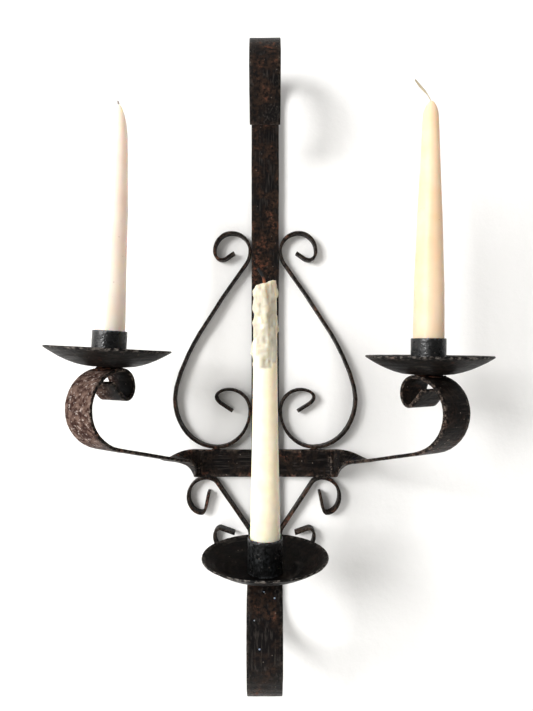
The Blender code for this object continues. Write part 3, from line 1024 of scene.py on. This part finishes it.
@dataclass
class Wick:
    """A braided cotton wick, drawn out through its stations and bent as it stands."""

    side: Side
    slot: Slot
    cotton: bpy.types.Material
    stops: tuple[WickStop, ...]
    plaits_mm: float = 1.1  # the length of one plait
    swelling: float = 0.12  # how far a plait swells and narrows, as a share of the radius
    sunk_mm: float = 1.5  # how far below the CAD wick's foot it begins
    tip_round: float = 0.5  # the last ring's size and how far past the tip it lies, in radii
    sides: int = 12

    def path(self) -> list[tuple[Vector, float]]:
        """Places the stations over the foot of the candle's CAD wick, with each plait's swelling.

        Returns:
            The middle and the radius of each ring, from the foot up.
        """
        low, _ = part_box("wick_" + self.side.value)
        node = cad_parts["wick_" + self.side.value]
        feet = [v.co for v in node.data.vertices if v.co.z < low.z + 0.3 * MM]
        foot = sum(feet, Vector()) / len(feet) - UP * (self.sunk_mm * MM)
        run: list[tuple[Vector, float]] = []
        for first, second in zip(self.stops, self.stops[1:]):
            length = math.hypot(second.across - first.across, second.height - first.height)
            steps = max(2, round(length / self.plaits_mm * 2))
            for i in range(steps):
                share = i / steps
                across = first.across + (second.across - first.across) * share
                height = first.height + (second.height - first.height) * share
                swell = 1 + self.swelling * (-1) ** i
                radius = (first.radius + (second.radius - first.radius) * share) * swell
                run.append((foot + Vector((across, 0, height)) * MM, radius * MM))
        last = self.stops[-1]
        tip = foot + Vector((last.across, 0, last.height)) * MM
        onward = (tip - run[-1][0]).normalized()
        end_radius = last.radius * self.tip_round * MM
        run.append((tip, last.radius * MM))
        run.append((tip + onward * end_radius, end_radius))
        return run

    def build(self) -> bpy.types.Object:
        """Extrudes a ring of points from station to station, turning it along the bend.

        Returns:
            The wick.
        """
        run = self.path()
        start, radius = run[0]
        bpy.ops.object.select_all(action="DESELECT")
        bpy.ops.mesh.primitive_circle_add(
            vertices=self.sides, radius=radius, fill_type="NGON", location=start
        )
        piece = bpy.context.object
        piece.name = f"wick_{self.side.value}_braid"
        bpy.ops.object.transform_apply(location=True, rotation=False, scale=False)
        bpy.ops.object.mode_set(mode="EDIT")
        bpy.ops.mesh.select_all(action="SELECT")
        lean = 0.0
        for (here, before), (there, after) in zip(run, run[1:]):
            bpy.ops.mesh.extrude_region_move(TRANSFORM_OT_translate={"value": there - here})
            heading = math.atan2(there.x - here.x, there.z - here.z)
            bpy.ops.transform.rotate(value=-(heading - lean), orient_axis="Y", center_override=there)
            bpy.ops.transform.resize(value=(after / before,) * 3, center_override=there)
            lean = heading
        bpy.ops.mesh.select_all(action="SELECT")
        bpy.ops.mesh.normals_make_consistent(inside=False)
        bpy.ops.object.mode_set(mode="OBJECT")
        finish_with(piece, "SUBSURF", levels=1, render_levels=1)
        return hand_over(
            piece, "taper_" + self.side.value, self.cotton, ("wick_" + self.side.value,)
        )


@dataclass
class WaxSpatter:
    """Small drops of wax that have fallen on the ironwork and set."""

    wax: bpy.types.Material
    target: str
    drops: tuple[tuple[float, float, float], ...]  # across, height and radius, in millimetres
    squash: float = 0.55  # a drop's height over its width

    def build(self) -> bpy.types.Object:
        """Sets each drop on the front of the target piece.

        Returns:
            The drops as one piece.
        """
        iron = bpy.data.objects[self.target]
        made = []
        for across, height, radius in self.drops:
            start = Vector((across * MM, CAD_BOX[0].y - 50 * MM, height * MM))
            hit, spot, normal, _ = iron.ray_cast(start, -FRONT)
            if not hit:
                log.warning("no iron behind the drop at %s", start)
                continue
            bpy.ops.object.select_all(action="DESELECT")
            bpy.ops.mesh.primitive_uv_sphere_add(
                segments=12, ring_count=8, radius=radius * MM, location=spot
            )
            drop = bpy.context.object
            bpy.ops.object.transform_apply(location=True, rotation=False, scale=False)
            bpy.ops.object.mode_set(mode="EDIT")
            bpy.ops.mesh.select_all(action="SELECT")
            flat = Vector((1, 1, 1)) - (1 - self.squash) * Vector(tuple(abs(c) for c in normal))
            bpy.ops.transform.resize(value=flat, center_override=spot)
            bpy.ops.object.mode_set(mode="OBJECT")
            made.append(drop)
        piece = made[0]
        hold(piece)
        for drop in made[1:]:
            drop.select_set(True)
        bpy.ops.object.join()
        piece.name = "wax_spatter_" + self.target
        return hand_over(piece, "frame", self.wax)


# ---------------------------------------------------------------- room


@dataclass
class Studio:
    """The plain pale wall and floor, the lights and the camera. Lengths are in metres."""

    wall: bpy.types.Material
    floor: bpy.types.Material
    half_width: float = 4.0
    wall_gap: float = 0.4 * MM  # between the sconce's back and the wall, so that rough iron stays clear
    floor_height: float = -0.95
    key_place: tuple[float, float, float] = (-1.25, -1.65, 0.30)
    key_size: float = 0.75
    key_watts: float = 44.0
    window_place: tuple[float, float, float] = (-1.5, -0.8, 0.0)
    window_size: float = 1.2
    window_watts: float = 9.0
    fill_place: tuple[float, float, float] = (0.3, -1.4, 1.9)
    fill_size: float = 2.2
    fill_watts: float = 11.0
    sky: float = 0.25
    camera_place: tuple[float, float, float] = (0.0012, -0.4935, -0.216)
    lens_mm: float = 26.84

    def add_plane(self, name: str, corners: list[Vector], material: bpy.types.Material) -> None:
        """Adds a flat part of the room.

        Args:
            name: its name.
            corners: four corners, anticlockwise as seen from its face.
            material: its material.
        """
        mesh = bpy.data.meshes.new(name)
        mesh.from_pydata(corners, [], [tuple(range(len(corners)))])
        mesh.materials.append(material)
        plane = bpy.data.objects.new(name, mesh)
        bpy.context.scene.collection.objects.link(plane)
        if name == "wall":
            plane.visible_shadow = False

    def add_light(self, name: str, place: Vector, size: float, watts: float) -> None:
        """Adds a square soft light that faces the sconce.

        Args:
            name: its name.
            place: where it stands.
            size: the length of its side.
            watts: its power.
        """
        light = bpy.data.lights.new(name, "AREA")
        light.shape = "SQUARE"
        light.size = size
        light.energy = watts
        lamp = bpy.data.objects.new(name, light)
        middle = (CAD_BOX[0] + CAD_BOX[1]) / 2
        lamp.location = place
        lamp.rotation_euler = (middle - place).to_track_quat("-Z", "Y").to_euler()
        bpy.context.scene.collection.objects.link(lamp)

    def build(self) -> None:
        """Sets up the whole room."""
        w, down, back = self.half_width, self.floor_height, self.wall_gap
        self.add_plane(
            "wall",
            [Vector((-w, back, down)), Vector((w, back, down)), Vector((w, back, w)), Vector((-w, back, w))],
            self.wall,
        )
        self.add_plane(
            "floor",
            [
                Vector((-w, -2 * w, down)),
                Vector((w, -2 * w, down)),
                Vector((w, 2 * w, down)),
                Vector((-w, 2 * w, down)),
            ],
            self.floor,
        )
        self.add_light("key", Vector(self.key_place), self.key_size, self.key_watts)
        self.add_light("window", Vector(self.window_place), self.window_size, self.window_watts)
        self.add_light("fill", Vector(self.fill_place), self.fill_size, self.fill_watts)
        world = bpy.data.worlds.new("studio")
        world.use_nodes = True
        backdrop = world.node_tree.nodes["Background"]
        backdrop.inputs["Color"].default_value = (1, 1, 1, 1)
        backdrop.inputs["Strength"].default_value = self.sky
        bpy.context.scene.world = world
        bpy.context.scene.view_settings.view_transform = "Standard"
        camera = bpy.data.cameras.new("camera")
        camera.lens = self.lens_mm
        camera.clip_start = 0.01
        eye = bpy.data.objects.new("camera", camera)
        eye.location = self.camera_place
        eye.rotation_euler = (math.pi / 2, 0, 0)
        bpy.context.scene.collection.objects.link(eye)
        bpy.context.scene.camera = eye


# The burnt candle's runs, from its left side round the front to its right side and its back.
WAX_RUNS = (
    WaxRun(-88, 2.0, 12.0, 1.2, 1.5, 0.9),
    WaxRun(-92, 8.0, 23.5, 1.6, 1.9, 1.2),
    WaxRun(-80, 20.0, 33.0, 1.3, 1.7, 1.3),
    WaxRun(-95, 36.0, 52.5, 1.0, 2.2, 1.7),
    WaxRun(-84, 50.0, 60.0, 0.9, 1.2, 0.5),
    WaxRun(-40, 3.0, 26.0, 2.3, 2.5, 0.8),
    WaxRun(-60, 10.0, 41.0, 2.0, 1.7, 0.4),
    WaxRun(-37, 30.0, 53.0, 1.2, 2.0, 0.8),
    WaxRun(2, 6.0, 31.5, 2.5, 2.3, 1.0),
    WaxRun(12, 20.0, 56.0, 2.4, 1.9, 0.8),
    WaxRun(-11, 34.0, 62.0, 1.7, 1.6, 0.7),
    WaxRun(14, 45.0, 61.5, 1.8, 1.7, 0.8),
    WaxRun(31, 3.0, 47.0, 1.9, 1.7, 0.5),
    WaxRun(50, 12.0, 58.0, 1.6, 1.6, 0.7),
    WaxRun(84, 2.0, 12.5, 1.2, 1.3, 0.7),
    WaxRun(90, 22.0, 37.0, 1.3, 2.4, 1.4),
    WaxRun(130, 2.0, 30.0, 2.2, 2.0, 0.8),
    WaxRun(165, 4.0, 48.0, 2.0, 1.9, 0.9),
    WaxRun(-150, 3.0, 40.0, 2.3, 2.1, 0.9),
    WaxRun(-122, 2.0, 24.0, 1.9, 1.9, 0.8),
)


def main() -> None:
    """Builds every piece in order."""
    logging.basicConfig(level=logging.INFO, format="%(name)s %(message)s")
    iron = WroughtIron().material()
    # The cross strap's lit copy of the iron: its paler edges and extra pale specks are painted highlights
    # beside wear and dust.
    cross_iron = WroughtIron(
        name="wrought_iron_dusty_painted_light",
        rust_from=0.57,
        brown="#2b211a",
        edge="#8c7d72",
        pale_speck_share=0.4,
        stretch=(14, 14, 1),
    ).material()
    # The pan's near-black oxide and brown are darker still as a painted shade for its underside, and its
    # pale rim edge is a painted highlight beside wear.
    sheet = WroughtIron(
        name="sheet_iron_pan",
        rust_from=0.66,
        oxide="#040404",
        brown="#1b1410",
        edge="#a09890",
        stretch=(14, 14, 1),
    ).material()
    # The tube's grey-blue edge colour is a painted highlight as well as rubbed wear.
    tube = WroughtIron(
        name="iron_tube",
        rust_from=0.8,
        oxide="#070808",
        brown="#121111",
        edge="#7c8083",
        scratch_and_glint="#202224",
        scratch_mm=1.8,
        stretch=(1, 1, 1.5),
        roughness=0.34,
        specular=0.4,
        relief_mm=0.6,
    ).material()
    weld = WroughtIron(name="weld_bead", rust_from=0.4, rust="#5f3524", roughness=0.6).material()
    ivory = CandleWax("wax_ivory", "#f0e5da", "#ebddce").material()
    cream = CandleWax("wax_cream", "#e9d2b6", "#e2c6a3").material()
    pale = CandleWax("wax_pale", "#f2ead2", "#e8dfc4", cloud_mm=9.0, speckiness=0.15).material()

    Strapwork(iron, cross_iron).build()
    WeldBeads(weld).build()
    for side in Side:
        PanAndSocket(side, sheet, tube).build()
    Taper(Side.LEFT, Slot.IVORY, ivory).build()
    Taper(Side.RIGHT, Slot.CREAM, cream).build()
    BurntTaper(Side.CENTRE, Slot.PALE, pale, runs=WAX_RUNS).build()

    left, right, centre = (
        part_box("candle_" + side.value)[1].z for side in (Side.LEFT, Side.RIGHT, Side.CENTRE)
    )
    cotton_left = WickCotton("cotton_left", "#a39a92", "#6e6560", left, left + 2 * MM)
    cotton_right = WickCotton("cotton_right", "#b6aa90", "#978a70", right, right + 14 * MM)
    charred = WickCotton("cotton_charred", "#84492c", "#0c0a09", centre - 1 * MM, centre + 3 * MM)
    Wick(
        Side.LEFT,
        Slot.COTTON,
        cotton_left.material(),
        (WickStop(0, 0, 0.8), WickStop(-0.3, 1.8, 0.8), WickStop(-0.6, 2.9, 0.6)),
    ).build()
    Wick(
        Side.RIGHT,
        Slot.COTTON,
        cotton_right.material(),
        (
            WickStop(0.6, 0, 0.35),
            WickStop(-2.1, 5.1, 0.35),
            WickStop(-4.3, 7.8, 0.75),
            WickStop(-7.8, 11.7, 0.85),
            WickStop(-11.1, 16.0, 0.55),
        ),
    ).build()
    Wick(
        Side.CENTRE,
        Slot.BURNT,
        charred.material(),
        (
            WickStop(0.3, 0, 1.1),
            WickStop(-0.6, 4.5, 1.0),
            WickStop(-2.4, 8.0, 1.1),
            WickStop(-4.6, 11.1, 0.9),
        ),
    ).build()
    WaxSpatter(
        pale,
        "spine_forged",
        ((-0.5, -381.0, 0.5), (6.9, -384.0, 0.7), (-7.1, -396.3, 0.5), (-3.5, -414.0, 0.6)),
    ).build()
    Studio(WhitePlaster().material(), WhitePlaster(name="pale_floor", one_sided=False).material()).build()


if __name__ == "__main__":
    main()
